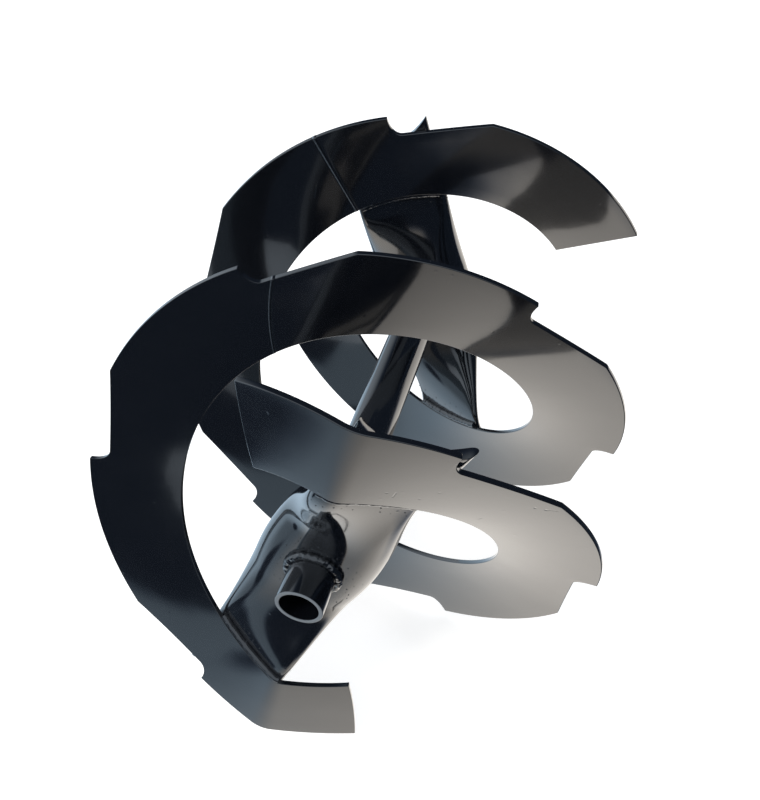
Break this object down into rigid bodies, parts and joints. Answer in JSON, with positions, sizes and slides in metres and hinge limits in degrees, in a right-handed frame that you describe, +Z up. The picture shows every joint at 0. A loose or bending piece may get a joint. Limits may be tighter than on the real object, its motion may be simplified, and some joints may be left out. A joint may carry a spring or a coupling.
{
  "type": "snow blower auger half",
  "caption": "Welded snow blower auger half: toothed ribbon flights wound round a shaft tube on flattened cross spokes.",
  "frame": {"origin": "on the shaft tube's axis, at its front end face", "axes": "+Y along the shaft tube from its front end to its rear end, +Z up as the auger lies on the ground, +X to the right seen from the front"},
  "size_m": [0.2992, 0.3227, 0.2992],
  "materials": {
    "black_paint": "gloss black paint over welded steel"
  },
  "bodies": {
    "root": {"shaft_tube": "black_paint", "front_spoke": "black_paint", "rear_spoke": "black_paint", "flight_a_front_plate": "black_paint", "flight_a_rear_plate": "black_paint", "flight_a_seam_weld": "black_paint", "flight_b_front_plate": "black_paint", "flight_b_rear_plate": "black_paint", "flight_b_seam_weld": "black_paint", "front_hub_front_weld": "black_paint", "front_hub_rear_weld": "black_paint", "rear_hub_front_weld": "black_paint", "rear_hub_rear_weld": "black_paint", "front_seat_weld_a": "black_paint", "front_seat_weld_b": "black_paint", "rear_seat_weld_a": "black_paint", "rear_seat_weld_b": "black_paint"}
  },
  "joints": []
}
